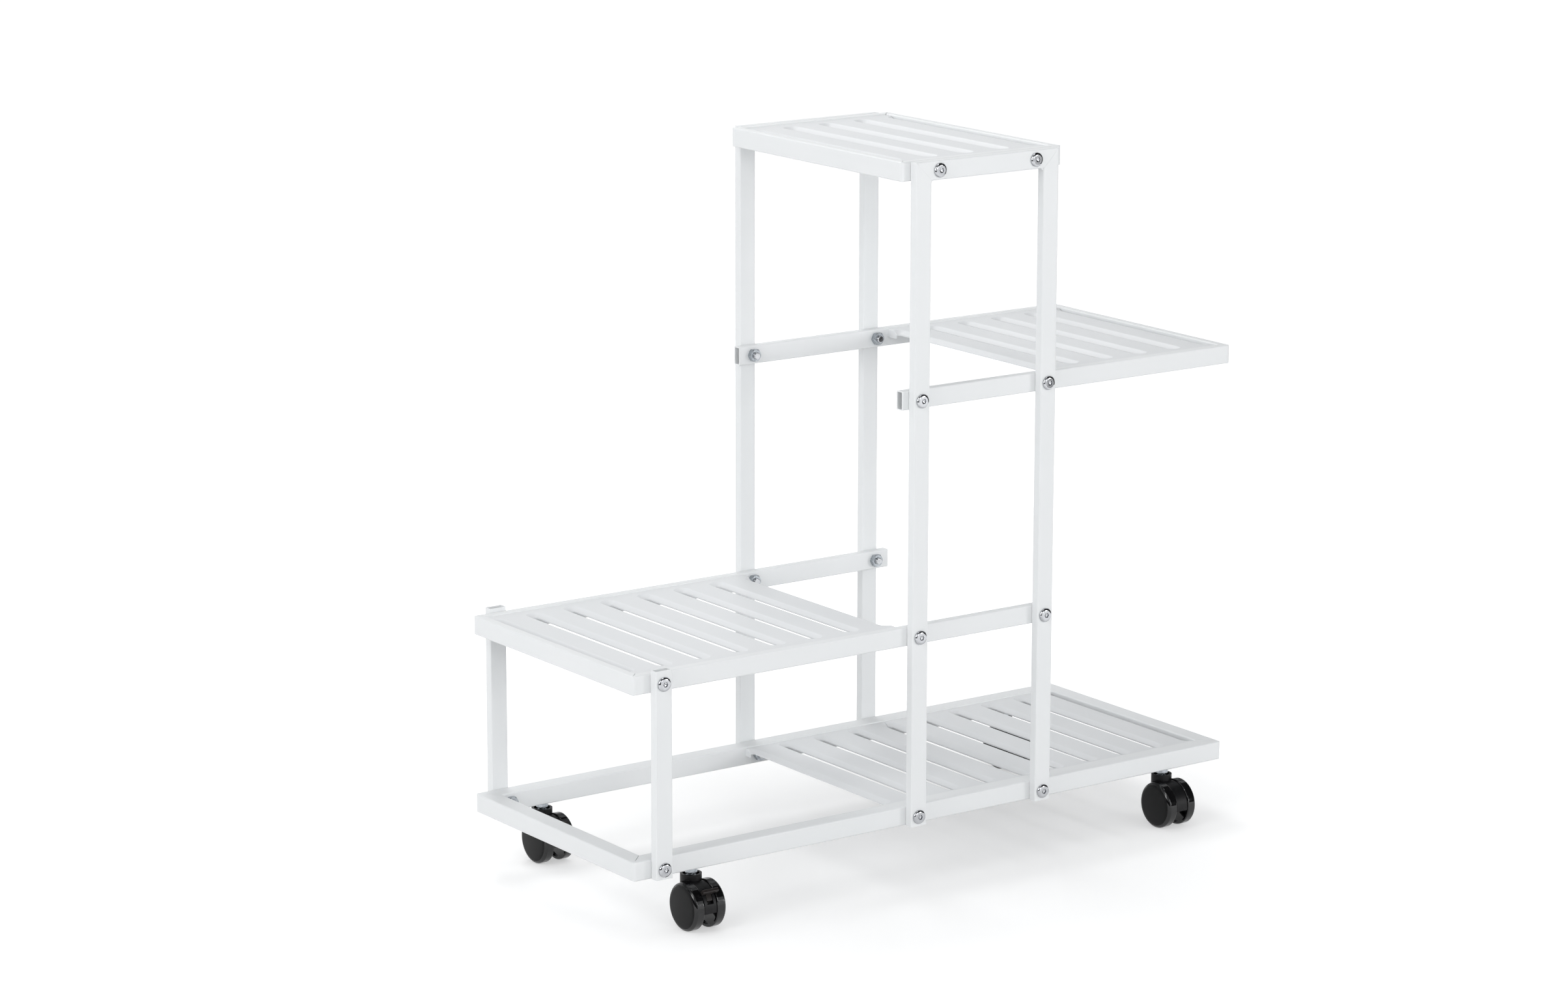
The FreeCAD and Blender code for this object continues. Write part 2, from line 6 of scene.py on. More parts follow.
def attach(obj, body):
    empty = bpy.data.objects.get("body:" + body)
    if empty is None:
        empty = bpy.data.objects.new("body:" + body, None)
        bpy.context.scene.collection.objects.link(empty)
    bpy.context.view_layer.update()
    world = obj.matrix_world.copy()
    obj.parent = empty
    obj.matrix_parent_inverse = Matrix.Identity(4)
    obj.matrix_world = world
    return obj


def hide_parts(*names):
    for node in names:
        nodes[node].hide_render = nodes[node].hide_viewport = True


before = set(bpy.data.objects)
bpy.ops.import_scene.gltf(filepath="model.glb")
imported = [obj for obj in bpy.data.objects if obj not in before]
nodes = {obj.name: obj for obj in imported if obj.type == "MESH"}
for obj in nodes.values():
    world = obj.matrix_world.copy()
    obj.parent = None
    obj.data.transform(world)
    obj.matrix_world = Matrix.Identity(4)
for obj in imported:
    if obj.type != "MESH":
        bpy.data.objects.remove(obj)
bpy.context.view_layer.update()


# Base frame
# A rectangle of square steel tube, notched and bent at its four corners so that a fine slit stays
# on top of each bend. It is powder coated white after welding.
def new_finish_group(name, inputs, outputs):
    """Shader node group with named sockets, and its input and output nodes."""
    group = bpy.data.node_groups.new(name, "ShaderNodeTree")
    for socket_name, kind, default in inputs:
        socket = group.interface.new_socket(socket_name, in_out="INPUT", socket_type="NodeSocket" + kind)
        if default is not None:
            socket.default_value = default
    for socket_name, kind in outputs:
        group.interface.new_socket(socket_name, in_out="OUTPUT", socket_type="NodeSocket" + kind)
    return group, group.nodes.new("NodeGroupInput"), group.nodes.new("NodeGroupOutput")


powder_coat, given, made = new_finish_group(
    "Powder coat",
    (
        ("Place", "Vector", None),
        ("Coat", "Color", (0.8, 0.8, 0.8, 1)),
        ("Thin coat", "Color", (0.7, 0.7, 0.7, 1)),
        ("Roughness", "Float", 0.4),
    ),
    (("Colour", "Color"), ("Roughness", "Float"), ("Peel", "Float")),
)
add, link = powder_coat.nodes.new, powder_coat.links.new
cloud = add("ShaderNodeTexNoise")
cloud.inputs["Scale"].default_value = 14
cloud.inputs["Detail"].default_value = 3
cloud_spread = add("ShaderNodeMapRange")
cloud_spread.inputs["From Min"].default_value = 0.35
cloud_spread.inputs["From Max"].default_value = 0.75
tone = add("ShaderNodeMix")
tone.data_type = "RGBA"
orange_peel = add("ShaderNodeTexNoise")
orange_peel.inputs["Scale"].default_value = 420
orange_peel.inputs["Detail"].default_value = 1.5
grit = add("ShaderNodeTexNoise")
grit.inputs["Scale"].default_value = 2600
grit.inputs["Detail"].default_value = 0
grit_share = add("ShaderNodeMath")
grit_share.operation = "MULTIPLY"
grit_share.inputs[1].default_value = 0.18
peel_sum = add("ShaderNodeMath")
peel_sum.operation = "ADD"
sheen_swing = add("ShaderNodeMapRange")
sheen_swing.inputs["To Min"].default_value = -0.05
sheen_swing.inputs["To Max"].default_value = 0.05
sheen = add("ShaderNodeMath")
sheen.operation = "ADD"
for texture in (cloud, orange_peel, grit):
    link(given.outputs["Place"], texture.inputs["Vector"])
link(cloud.outputs["Fac"], cloud_spread.inputs["Value"])
link(cloud_spread.outputs["Result"], tone.inputs["Factor"])
link(given.outputs["Coat"], tone.inputs["A"])
link(given.outputs["Thin coat"], tone.inputs["B"])
link(grit.outputs["Fac"], grit_share.inputs[0])
link(orange_peel.outputs["Fac"], peel_sum.inputs[0])
link(grit_share.outputs["Value"], peel_sum.inputs[1])
link(orange_peel.outputs["Fac"], sheen_swing.inputs["Value"])
link(sheen_swing.outputs["Result"], sheen.inputs[0])
link(given.outputs["Roughness"], sheen.inputs[1])
link(tone.outputs["Result"], made.inputs["Colour"])
link(sheen.outputs["Value"], made.inputs["Roughness"])
link(peel_sum.outputs["Value"], made.inputs["Peel"])


def white_coat(name, coat, thin_coat, roughness, peel_depth):
    """Satin powder coat on steel."""
    material = bpy.data.materials.new(name)
    material.use_nodes = True
    tree = material.node_tree
    paint = tree.nodes["Principled BSDF"]
    place = tree.nodes.new("ShaderNodeTexCoord")
    group = tree.nodes.new("ShaderNodeGroup")
    group.node_tree = powder_coat
    group.inputs["Coat"].default_value = (*coat, 1)
    group.inputs["Thin coat"].default_value = (*thin_coat, 1)
    group.inputs["Roughness"].default_value = roughness
    bump = tree.nodes.new("ShaderNodeBump")
    bump.inputs["Strength"].default_value = 0.5
    bump.inputs["Distance"].default_value = peel_depth
    tree.links.new(place.outputs["Object"], group.inputs["Place"])
    tree.links.new(group.outputs["Colour"], paint.inputs["Base Color"])
    tree.links.new(group.outputs["Roughness"], paint.inputs["Roughness"])
    tree.links.new(group.outputs["Peel"], bump.inputs["Height"])
    tree.links.new(bump.outputs["Normal"], paint.inputs["Normal"])
    return material


def finish_node(node_name, material):
    nodes[node_name].data.materials.clear()
    nodes[node_name].data.materials.append(material)


base_coat = white_coat(
    "base_tube_coat", (0.82, 0.83, 0.835), (0.805, 0.82, 0.825),
    roughness=0.42, peel_depth=0.00003,
)
finish_node("base_frame", base_coat)


# Towers and short posts
# Flat steel tube: each tower is two posts and a crossbar, mitred and welded, and the two short
# posts are plain cut lengths with open tops. All have the same white powder coat.
tower_coat = white_coat(
    "tower_tube_coat", (0.82, 0.83, 0.835), (0.805, 0.82, 0.825),
    roughness=0.42, peel_depth=0.00003,
)
for node_name in ("front_tower_frame", "back_tower_frame", "front_short_post", "back_short_post"):
    finish_node(node_name, tower_coat)


# Shelf frames
# Flat steel tube bent into a rectangle for the top shelf and into U shapes for the low and middle
# shelves, whose open arms pass between the posts. Bolted to the posts, same coat.
shelf_coat = white_coat(
    "shelf_tube_coat", (0.82, 0.83, 0.835), (0.805, 0.82, 0.825),
    roughness=0.42, peel_depth=0.00003,
)
for node_name in ("top_shelf_frame", "left_shelf_frame", "right_shelf_frame"):
    finish_node(node_name, shelf_coat)


# Slatted panels
# Pressed steel sheet with dished slots, welded between the rails. The thin sheet takes the coat a
# little more matt; its colour is a shade greyer than the tubes' as painted shade for the dimmer tops.
panel_coat_painted_shade = white_coat(
    "panel_sheet_coat_painted_shade", (0.78, 0.79, 0.80), (0.765, 0.78, 0.79),
    roughness=0.5, peel_depth=0.00004,
)
for node_name in (
    "top_panel", "left_shelf_panel", "right_shelf_panel", "base_panel_left", "base_panel_right",
):
    finish_node(node_name, panel_coat_painted_shade)


# Bolts
# Dome-head socket bolts of plated steel, put in from outside through post and rail. The heads are
# polished bright; the threaded ends show past the nuts inside.
plated_steel, given, made = new_finish_group(
    "Plated steel",
    (
        ("Place", "Vector", None),
        ("Plate", "Color", (0.7, 0.7, 0.7, 1)),
        ("Stain", "Color", (0.6, 0.6, 0.6, 1)),
        ("Polish", "Float", 0.1),
        ("Dull", "Float", 0.3),
        ("Mottle size", "Float", 300.0),
    ),
    (("Colour", "Color"), ("Roughness", "Float"), ("Scratch", "Float")),
)
add, link = plated_steel.nodes.new, plated_steel.links.new
mottle = add("ShaderNodeTexNoise")
mottle.inputs["Detail"].default_value = 4
mottle_spread = add("ShaderNodeMapRange")
mottle_spread.inputs["From Min"].default_value = 0.4
mottle_spread.inputs["From Max"].default_value = 0.7
plate_tone = add("ShaderNodeMix")
plate_tone.data_type = "RGBA"
plate_polish = add("ShaderNodeMix")
plate_polish.data_type = "FLOAT"
scratch = add("ShaderNodeTexNoise")
scratch.inputs["Scale"].default_value = 2400
scratch.inputs["Detail"].default_value = 1
for texture in (mottle, scratch):
    link(given.outputs["Place"], texture.inputs["Vector"])
link(given.outputs["Mottle size"], mottle.inputs["Scale"])
link(mottle.outputs["Fac"], mottle_spread.inputs["Value"])
link(mottle_spread.outputs["Result"], plate_tone.inputs["Factor"])
link(given.outputs["Plate"], plate_tone.inputs["A"])
link(given.outputs["Stain"], plate_tone.inputs["B"])
link(mottle_spread.outputs["Result"], plate_polish.inputs["Factor"])
link(given.outputs["Polish"], plate_polish.inputs["A"])
link(given.outputs["Dull"], plate_polish.inputs["B"])
link(plate_tone.outputs["Result"], made.inputs["Colour"])
link(plate_polish.outputs["Result"], made.inputs["Roughness"])
link(scratch.outputs["Fac"], made.inputs["Scratch"])


thread_pitch = 0.001
stand_middle_y = 0.0055


def plated(name, plate, stain, polish, dull, mottle_size, thread_axis, thread_limit):
    """Bright or dull plating. A thread shows along one axis, up to a limit from the stand's middle."""
    material = bpy.data.materials.new(name)
    material.use_nodes = True
    tree = material.node_tree
    metal = tree.nodes["Principled BSDF"]
    metal.inputs["Metallic"].default_value = 1
    place = tree.nodes.new("ShaderNodeTexCoord")
    group = tree.nodes.new("ShaderNodeGroup")
    group.node_tree = plated_steel
    group.inputs["Plate"].default_value = (*plate, 1)
    group.inputs["Stain"].default_value = (*stain, 1)
    group.inputs["Polish"].default_value = polish
    group.inputs["Dull"].default_value = dull
    group.inputs["Mottle size"].default_value = mottle_size
    axes = tree.nodes.new("ShaderNodeSeparateXYZ")
    turns = tree.nodes.new("ShaderNodeMath")
    turns.operation = "MULTIPLY"
    turns.inputs[1].default_value = 2 * math.pi / thread_pitch
    ridge = tree.nodes.new("ShaderNodeMath")
    ridge.operation = "SINE"
    from_middle = tree.nodes.new("ShaderNodeMath")
    from_middle.operation = "ABSOLUTE"
    centred = tree.nodes.new("ShaderNodeMath")
    centred.operation = "SUBTRACT"
    centred.inputs[1].default_value = stand_middle_y if thread_axis == "Y" else 0.0
    threaded = tree.nodes.new("ShaderNodeMath")
    threaded.operation = "LESS_THAN"
    threaded.inputs[1].default_value = thread_limit
    thread = tree.nodes.new("ShaderNodeMath")
    thread.operation = "MULTIPLY"
    height = tree.nodes.new("ShaderNodeMath")
    height.operation = "MULTIPLY_ADD"
    height.inputs[1].default_value = 0.01
    bump = tree.nodes.new("ShaderNodeBump")
    bump.inputs["Strength"].default_value = 0.8
    bump.inputs["Distance"].default_value = 0.0002
    join = tree.links.new
    join(place.outputs["Object"], group.inputs["Place"])
    join(place.outputs["Object"], axes.inputs["Vector"])
    join(axes.outputs[thread_axis], turns.inputs[0])
    join(turns.outputs["Value"], ridge.inputs[0])
    join(axes.outputs[thread_axis], centred.inputs[0])
    join(centred.outputs["Value"], from_middle.inputs[0])
    join(from_middle.outputs["Value"], threaded.inputs[0])
    join(ridge.outputs["Value"], thread.inputs[0])
    join(threaded.outputs["Value"], thread.inputs[1])
    join(group.outputs["Scratch"], height.inputs[0])
    join(thread.outputs["Value"], height.inputs[2])
    join(height.outputs["Value"], bump.inputs["Height"])
    join(bump.outputs["Normal"], metal.inputs["Normal"])
    join(group.outputs["Colour"], metal.inputs["Base Color"])
    join(group.outputs["Roughness"], metal.inputs["Roughness"])
    return material


bolt_chrome = plated(
    "bolt_chrome", (0.52, 0.53, 0.55), (0.45, 0.46, 0.48),
    polish=0.07, dull=0.14, mottle_size=260, thread_axis="Y", thread_limit=0.1195,
)
for node_name in ("shelf_bolts", "base_bolts"):
    finish_node(node_name, bolt_chrome)


# Hexagon nuts
# Zinc-plated steel nuts on the inner sides of the rails, dull beside the bolt heads, with a faint
# bluish mottle from the plating bath.
nut_zinc = plated(
    "nut_zinc", (0.44, 0.47, 0.50), (0.34, 0.37, 0.40),
    polish=0.22, dull=0.36, mottle_size=380, thread_axis="Y", thread_limit=0.0,
)
finish_node("hex_nuts", nut_zinc)


# Caster stems, stem nuts and axles
# Zinc-plated threaded stems screwed up into the base tube and locked by a thin nut against its
# underside. The axles are plain pins of the same steel.
stem_zinc = plated(
    "stem_zinc", (0.42, 0.45, 0.48), (0.32, 0.35, 0.38),
    polish=0.2, dull=0.34, mottle_size=420, thread_axis="Z", thread_limit=0.2,
)
finish_node("caster_stems", stem_zinc)
finish_node("stem_nuts", nut_zinc)
axle_zinc = plated(
    "axle_zinc", (0.42, 0.45, 0.48), (0.32, 0.35, 0.38),
    polish=0.2, dull=0.34, mottle_size=420, thread_axis="Z", thread_limit=0.0,
)
for corner in ("front_left", "back_left", "front_right", "back_right"):
    finish_node(corner + "_axle", axle_zinc)


# Caster hoods
# Moulded black plastic covers between the twin wheels, satin with a fine spark grain. The braked
# ones are moulded in two halves, so a seam runs down their middle.
moulded_grain, given, made = new_finish_group(
    "Moulded grain",
    (
        ("Place", "Vector", None),
        ("Plastic", "Color", (0.02, 0.02, 0.02, 1)),
        ("Bloom", "Color", (0.03, 0.03, 0.03, 1)),
        ("Roughness", "Float", 0.45),
        ("Grain size", "Float", 1600.0),
    ),
    (("Colour", "Color"), ("Roughness", "Float"), ("Grain", "Float")),
)
add, link = moulded_grain.nodes.new, moulded_grain.links.new
grain = add("ShaderNodeTexNoise")
grain.inputs["Detail"].default_value = 2
flow = add("ShaderNodeTexNoise")
flow.inputs["Scale"].default_value = 120
flow.inputs["Detail"].default_value = 3
flow_spread = add("ShaderNodeMapRange")
flow_spread.inputs["From Min"].default_value = 0.4
flow_spread.inputs["From Max"].default_value = 0.75
plastic_tone = add("ShaderNodeMix")
plastic_tone.data_type = "RGBA"
gloss_swing = add("ShaderNodeMapRange")
gloss_swing.inputs["To Min"].default_value = -0.06
gloss_swing.inputs["To Max"].default_value = 0.06
gloss = add("ShaderNodeMath")
gloss.operation = "ADD"
for texture in (grain, flow):
    link(given.outputs["Place"], texture.inputs["Vector"])
link(given.outputs["Grain size"], grain.inputs["Scale"])
link(flow.outputs["Fac"], flow_spread.inputs["Value"])
link(flow_spread.outputs["Result"], plastic_tone.inputs["Factor"])
link(given.outputs["Plastic"], plastic_tone.inputs["A"])
link(given.outputs["Bloom"], plastic_tone.inputs["B"])
link(flow.outputs["Fac"], gloss_swing.inputs["Value"])
link(gloss_swing.outputs["Result"], gloss.inputs[0])
link(given.outputs["Roughness"], gloss.inputs[1])
link(plastic_tone.outputs["Result"], made.inputs["Colour"])
link(gloss.outputs["Value"], made.inputs["Roughness"])
link(grain.outputs["Fac"], made.inputs["Grain"])


def moulded(name, plastic, bloom, roughness, shine, grain_size, grain_depth, seam_x=None):
    """Injection-moulded plastic, with an optional mould seam at one place along X."""
    material = bpy.data.materials.new(name)
    material.use_nodes = True
    tree = material.node_tree
    skin = tree.nodes["Principled BSDF"]
    skin.inputs["Specular IOR Level"].default_value = shine
    place = tree.nodes.new("ShaderNodeTexCoord")
    group = tree.nodes.new("ShaderNodeGroup")
    group.node_tree = moulded_grain
    group.inputs["Plastic"].default_value = (*plastic, 1)
    group.inputs["Bloom"].default_value = (*bloom, 1)
    group.inputs["Roughness"].default_value = roughness
    group.inputs["Grain size"].default_value = grain_size
    bump = tree.nodes.new("ShaderNodeBump")
    bump.inputs["Strength"].default_value = 0.6
    bump.inputs["Distance"].default_value = grain_depth
    join = tree.links.new
    join(place.outputs["Object"], group.inputs["Place"])
    join(group.outputs["Roughness"], skin.inputs["Roughness"])
    join(group.outputs["Grain"], bump.inputs["Height"])
    join(bump.outputs["Normal"], skin.inputs["Normal"])
    if seam_x is None:
        join(group.outputs["Colour"], skin.inputs["Base Color"])
        return material
    axes = tree.nodes.new("ShaderNodeSeparateXYZ")
    offset = tree.nodes.new("ShaderNodeMath")
    offset.operation = "SUBTRACT"
    offset.inputs[1].default_value = seam_x
    away = tree.nodes.new("ShaderNodeMath")
    away.operation = "ABSOLUTE"
    seam = tree.nodes.new("ShaderNodeMapRange")
    seam.inputs["From Min"].default_value = 0.00012
    seam.inputs["From Max"].default_value = 0.0003
    seam.inputs["To Min"].default_value = 1
    seam.inputs["To Max"].default_value = 0
    shade = tree.nodes.new("ShaderNodeMix")
    shade.data_type = "RGBA"
    shade.inputs["B"].default_value = (0.002, 0.002, 0.002, 1)
    join(place.outputs["Object"], axes.inputs["Vector"])
    join(axes.outputs["X"], offset.inputs[0])
    join(offset.outputs["Value"], away.inputs[0])
    join(away.outputs["Value"], seam.inputs["Value"])
    join(seam.outputs["Result"], shade.inputs["Factor"])
    join(group.outputs["Colour"], shade.inputs["A"])
    join(shade.outputs["Result"], skin.inputs["Base Color"])
    return material


plain_hood = moulded(
    "plain_hood_plastic", (0.004, 0.004, 0.0048), (0.007, 0.007, 0.0078),
    roughness=0.42, shine=0.24, grain_size=1500, grain_depth=0.00005,
)
braked_hood = moulded(
    "braked_hood_plastic", (0.004, 0.004, 0.0048), (0.007, 0.007, 0.0078),
    roughness=0.42, shine=0.24, grain_size=1500, grain_depth=0.00005, seam_x=-0.247,
)
for corner in ("front_right", "back_right"):
    finish_node(corner + "_caster_hood", plain_hood)
for corner in ("front_left", "back_left"):
    finish_node(corner + "_caster_hood", braked_hood)


# Brake levers
# Small black levers in the hoods of the two casters at the low-shelf end, moulded in a slightly
# browner plastic, pressed down by a foot on the tab.
lever_plastic = moulded(
    "brake_lever_plastic", (0.013, 0.010, 0.0095), (0.018, 0.014, 0.013),
    roughness=0.4, shine=0.35, grain_size=1100, grain_depth=0.00006,
)
for corner in ("front_left", "back_left"):
    finish_node(corner + "_brake_lever", lever_plastic)


# Caster wheels
# Twin wheels of glossy black plastic on each caster: a satin cap with a fine ring round it, a
# rounded shoulder, a smooth tread and a hollow inner side. Each is pressed onto its end of the axle.
cap_plastic = moulded(
    "wheel_cap_plastic", (0.004, 0.004, 0.0043), (0.007, 0.007, 0.0074),
    roughness=0.42, shine=0.16, grain_size=900, grain_depth=0.00004,
)
tread_plastic = moulded(
    "wheel_tread_plastic", (0.003, 0.003, 0.0034), (0.005, 0.005, 0.0055),
    roughness=0.06, shine=0.55, grain_size=1500, grain_depth=0.000003,
)
first_caster_x, first_caster_y = -0.247, -0.106
wheel_middle = Vector((-0.247, -0.1155, 0.020))
cap_radius = 0.0149
cap_edge_x = 0.0149
cap_edge_radius = 0.0176
wheel_segments = 96
# Distance from the caster's middle along the axle, and radius, from the cap round to the inner side.
wheel_rings = (
    (0.0160, 0.0149), (0.01594, 0.0152), (0.01592, 0.0155), (0.0157, 0.0164), (0.01525, 0.0177),
    (0.0146, 0.0188), (0.0139, 0.0195), (0.0134, 0.01985), (0.0129, 0.0200), (0.0127, 0.0200),
    (0.0074, 0.0200), (0.0072, 0.0200), (0.0067, 0.0198), (0.0063, 0.0193),
    (0.0063, 0.0178), (0.0084, 0.0174), (0.0084, 0.0092), (0.0063, 0.0088), (0.0063, 0.0026),
)
bpy.ops.object.select_all(action="DESELECT")
bpy.ops.mesh.primitive_circle_add(
    vertices=wheel_segments, radius=cap_radius, fill_type="TRIFAN",
    location=wheel_middle + Vector((wheel_rings[0][0], 0, 0)), rotation=(0, math.pi / 2, 0),
)
wheel = bpy.context.object
wheel.name = "front_left_wheel_b_dressed"
bpy.ops.object.transform_apply(location=True, rotation=True, scale=True)
bpy.ops.object.mode_set(mode="EDIT")
bpy.ops.mesh.select_mode(type="EDGE")
bpy.ops.mesh.select_all(action="DESELECT")
bpy.ops.mesh.select_non_manifold()
for (x, radius), (next_x, next_radius) in zip(wheel_rings, wheel_rings[1:]):
    bpy.ops.mesh.extrude_edges_move(TRANSFORM_OT_translate={"value": (next_x - x, 0, 0)})
    share = next_radius / radius
    bpy.ops.transform.resize(value=(1, share, share), center_override=wheel_middle)
bpy.ops.mesh.edge_face_add()
bpy.ops.mesh.select_all(action="SELECT")
bpy.ops.mesh.normals_make_consistent(inside=False)
bpy.ops.object.mode_set(mode="OBJECT")
bpy.ops.object.shade_smooth_by_angle(angle=math.radians(24))
wheel.data.materials.append(cap_plastic)
wheel.data.materials.append(tread_plastic)
for face in wheel.data.polygons:
    to_axle = face.center - wheel_middle
    on_cap = to_axle.x > cap_edge_x and math.hypot(to_axle.y, to_axle.z) < cap_edge_radius
    face.material_index = 0 if on_cap else 1

wheel_pieces = [(wheel, "front_left_wheel_b")]
for corner, caster_x, caster_y in (
    ("front_left", -0.247, -0.106), ("back_left", -0.247, 0.117),
    ("front_right", 0.247, -0.106), ("back_right", 0.247, 0.117),
):
    for half in ("a", "b"):
        if (corner, half) == ("front_left", "b"):
            continue
        bpy.ops.object.select_all(action="DESELECT")
        wheel.select_set(True)
        bpy.context.view_layer.objects.active = wheel
        bpy.ops.object.duplicate()
        twin = bpy.context.object
        twin.name = corner + "_wheel_" + half + "_dressed"
        bpy.ops.object.mode_set(mode="EDIT")
        bpy.ops.mesh.select_all(action="SELECT")
        if half == "a":
            bpy.ops.transform.rotate(value=math.pi, orient_axis="Z", center_override=wheel_middle)
        bpy.ops.transform.translate(value=(caster_x - first_caster_x, caster_y - first_caster_y, 0))
        bpy.ops.object.mode_set(mode="OBJECT")
        wheel_pieces.append((twin, corner + "_wheel_" + half))
for piece, node_name in wheel_pieces:
    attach(piece, node_name)
    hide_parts(node_name)


# Studio
# A pale floor that shows white farther out, with painted shade round the stand's foot, and keeps the
# soft shadow, a pale surround that is weaker overhead than at the sides, soft lamps, and black screens
# that only show in reflections.
bpy.ops.object.select_all(action="DESELECT")
bpy.ops.mesh.primitive_plane_add(size=30, location=(0, 0, 0))
floor = bpy.context.object
floor.name = "studio_floor"
floor_white = bpy.data.materials.new("studio_floor_white")
floor_white.use_nodes = True
tree = floor_white.node_tree
matt = tree.nodes["Principled BSDF"]
matt.inputs["Base Color"].default_value = (0.72, 0.72, 0.72, 1)
matt.inputs["Roughness"].default_value = 0.9
matt.inputs["Specular IOR Level"].default_value = 0
seen = tree.nodes.new("ShaderNodeLightPath")
seen_or_mirrored = tree.nodes.new("ShaderNodeMath")
seen_or_mirrored.operation = "MAXIMUM"
seen_at_all = tree.nodes.new("ShaderNodeMath")
seen_at_all.operation = "MAXIMUM"
spot = tree.nodes.new("ShaderNodeTexCoord")
from_centre = tree.nodes.new("ShaderNodeVectorMath")
from_centre.operation = "LENGTH"
# The floor's glow is weaker near the stand and grows outwards, so the floor is painted darker round the
# stand's foot: painted shade.
painted_shade_round_stand = tree.nodes.new("ShaderNodeMapRange")
painted_shade_round_stand.inputs["From Min"].default_value = 0.15
painted_shade_round_stand.inputs["From Max"].default_value = 0.7
painted_shade_round_stand.inputs["To Min"].default_value = 0.34
painted_shade_round_stand.inputs["To Max"].default_value = 0.72
lift = tree.nodes.new("ShaderNodeMath")
lift.operation = "MULTIPLY"
tree.links.new(spot.outputs["Object"], from_centre.inputs[0])
tree.links.new(from_centre.outputs["Value"], painted_shade_round_stand.inputs["Value"])
tree.links.new(painted_shade_round_stand.outputs["Result"], lift.inputs[1])
glow = tree.nodes.new("ShaderNodeEmission")
both = tree.nodes.new("ShaderNodeAddShader")
out = tree.nodes["Material Output"]
tree.links.new(seen.outputs["Is Camera Ray"], seen_or_mirrored.inputs[0])
tree.links.new(seen.outputs["Is Glossy Ray"], seen_or_mirrored.inputs[1])
tree.links.new(seen_or_mirrored.outputs["Value"], seen_at_all.inputs[0])
tree.links.new(seen.outputs["Is Transmission Ray"], seen_at_all.inputs[1])
tree.links.new(seen_at_all.outputs["Value"], lift.inputs[0])
tree.links.new(lift.outputs["Value"], glow.inputs["Strength"])
tree.links.new(matt.outputs["BSDF"], both.inputs[0])
tree.links.new(glow.outputs["Emission"], both.inputs[1])
tree.links.new(both.outputs["Shader"], out.inputs["Surface"])
floor.data.materials.append(floor_white)

flag_black = bpy.data.materials.new("studio_flag_black")
flag_black.use_nodes = True
cloth = flag_black.node_tree.nodes["Principled BSDF"]
cloth.inputs["Base Color"].default_value = (0.02, 0.02, 0.02, 1)
cloth.inputs["Roughness"].default_value = 0.9
for flag_name, place, turn, stretch in (
    ("right_flag", (1.2, -0.3, 0.8), (0, math.pi / 2, 0), (1.56, 2.4, 1)),
    ("upper_right_flag", (1.5, 0.2, 3.0), (0, 0, 0), (2.2, 4.0, 1)),
    ("low_left_flag", (-1.4, -0.4, 0.25), (0, math.pi / 2, 0), (0.4, 1.7, 1)),
    ("front_upper_flag", (1.8, -2.8, 2.7), (0, 0, 0), (3.4, 3.2, 1)),
    ("low_front_flag", (-0.95, -1.35, 0.23), (math.pi / 2, 0, math.radians(-36)), (1.0, 0.44, 1)),
    ("camera_side_flag", (-2.9, -3.7, 1.5), (math.pi / 2, 0, math.radians(-38)), (2.0, 1.6, 1)),
):
    bpy.ops.mesh.primitive_plane_add(size=1, location=place, rotation=turn)
    flag = bpy.context.object
    flag.name = flag_name
    flag.scale = stretch
    flag.visible_diffuse = False
    flag.visible_shadow = False
    flag.visible_camera = False
    flag.visible_transmission = False
    flag.data.materials.append(flag_black)

surround = bpy.data.worlds.new("studio_surround")
bpy.context.scene.world = surround
surround.use_nodes = True
tree = surround.node_tree
light = tree.nodes["Background"]
light.inputs["Color"].default_value = (0.97, 0.985, 1.0, 1)
direction = tree.nodes.new("ShaderNodeTexCoord")
axes = tree.nodes.new("ShaderNodeSeparateXYZ")
walls_to_top = tree.nodes.new("ShaderNodeMapRange")
walls_to_top.inputs["From Min"].default_value = 0.1
walls_to_top.inputs["From Max"].default_value = 0.9
walls_to_top.inputs["To Min"].default_value = 1.4
walls_to_top.inputs["To Max"].default_value = 0.08
white = tree.nodes.new("ShaderNodeBackground")
white.inputs["Color"].default_value = (1, 1, 1, 1)
seen = tree.nodes.new("ShaderNodeLightPath")
seen_through = tree.nodes.new("ShaderNodeMath")
seen_through.operation = "MAXIMUM"
choice = tree.nodes.new("ShaderNodeMixShader")
tree.links.new(direction.outputs["Generated"], axes.inputs["Vector"])
tree.links.new(axes.outputs["Z"], walls_to_top.inputs["Value"])
tree.links.new(walls_to_top.outputs["Result"], light.inputs["Strength"])
tree.links.new(seen.outputs["Is Camera Ray"], seen_through.inputs[0])
tree.links.new(seen.outputs["Is Transmission Ray"], seen_through.inputs[1])
tree.links.new(seen_through.outputs["Value"], choice.inputs["Fac"])
tree.links.new(light.outputs["Background"], choice.inputs[1])
tree.links.new(white.outputs["Background"], choice.inputs[2])
tree.links.new(choice.outputs["Shader"], tree.nodes["World Output"].inputs["Surface"])

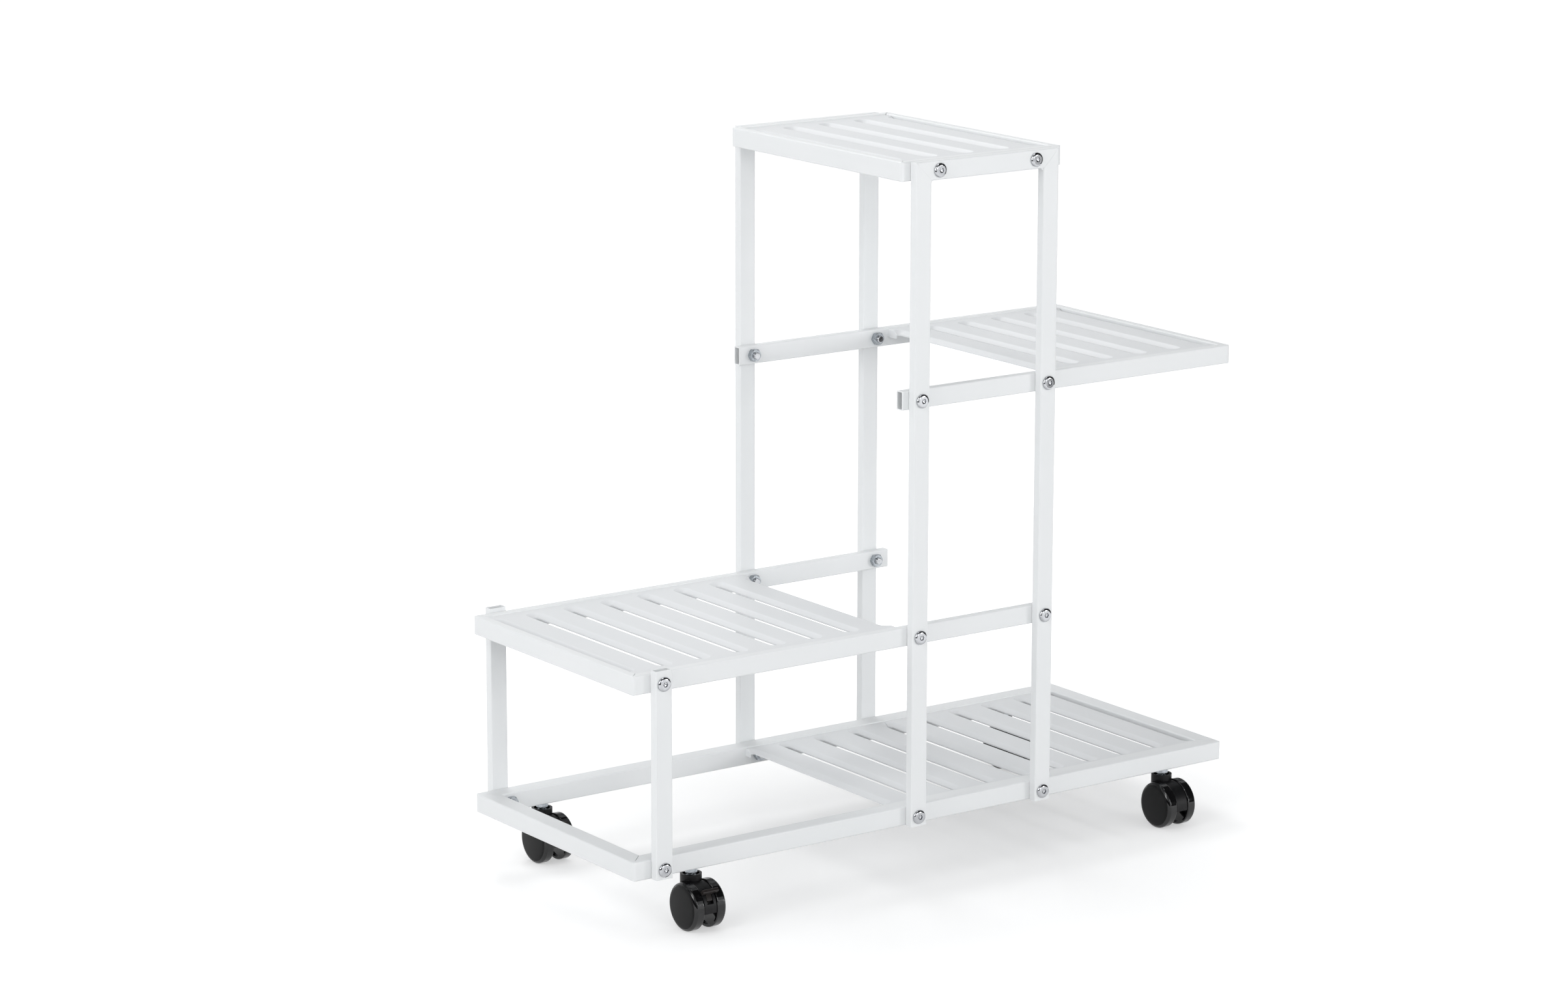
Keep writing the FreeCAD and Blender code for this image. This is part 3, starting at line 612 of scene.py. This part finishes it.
for lamp_name, place, aim, width, height, power in (
    ("front_softbox", (-0.4, -3.1, 1.4), (0, 0, 0.25), 1.2, 0.9, 11),
    ("low_right_softbox", (1.8, -2.65, 0.6), (0, 0, 0.25), 0.55, 0.45, 14),
    ("left_softbox", (-2.0, -0.7, 1.9), (0, 0, 0.3), 0.9, 0.7, 6),
    ("low_left_softbox", (-2.7, -0.3, 1.1), (0, 0, 0.3), 0.9, 0.8, 13),
    ("top_softbox", (-0.2, 0.1, 2.4), (0, 0, 0), 1.0, 0.8, 6),
    ("back_softbox", (0.4, 1.6, 2.2), (0, 0, 0.2), 1.0, 0.8, 15),
):
    lamp = bpy.data.lights.new(lamp_name, "AREA")
    lamp.shape = "RECTANGLE"
    lamp.size = width
    lamp.size_y = height
    lamp.energy = power
    lamp_object = bpy.data.objects.new(lamp_name, lamp)
    lamp_object.location = place
    lamp_object.rotation_euler = (Vector(aim) - Vector(place)).to_track_quat("-Z", "Y").to_euler()
    bpy.context.scene.collection.objects.link(lamp_object)


# Camera
# Set to the photograph's own viewpoint, about 35 degrees to the left of the front and 13 degrees
# above the floor, with a long lens.
azimuth, height_angle, roll = math.radians(-35.4953), math.radians(12.8085), math.radians(0.092)
camera_x, camera_y, camera_z = -2.231336, -3.01684, 1.158366
sensor_width = 36
photo_width = 2408
focal_length_in_pixels = 7015.503
looking = Vector((
    -math.sin(azimuth) * math.cos(height_angle),
    math.cos(azimuth) * math.cos(height_angle),
    -math.sin(height_angle),
))
level_right = Vector((math.cos(azimuth), math.sin(azimuth), 0))
level_up = level_right.cross(looking)
right = level_right * math.cos(roll) + level_up * math.sin(roll)
up = level_up * math.cos(roll) - level_right * math.sin(roll)
lens = bpy.data.cameras.new("photo_camera")
lens.sensor_fit = "HORIZONTAL"
lens.sensor_width = sensor_width
lens.lens = sensor_width * focal_length_in_pixels / photo_width
lens.clip_start = 0.1
lens.clip_end = 100
camera = bpy.data.objects.new("photo_camera", lens)
camera.matrix_world = Matrix((
    (right.x, up.x, -looking.x, camera_x),
    (right.y, up.y, -looking.y, camera_y),
    (right.z, up.z, -looking.z, camera_z),
    (0, 0, 0, 1),
))
bpy.context.scene.collection.objects.link(camera)
bpy.context.scene.camera = camera
bpy.context.scene.view_settings.view_transform = "Standard"
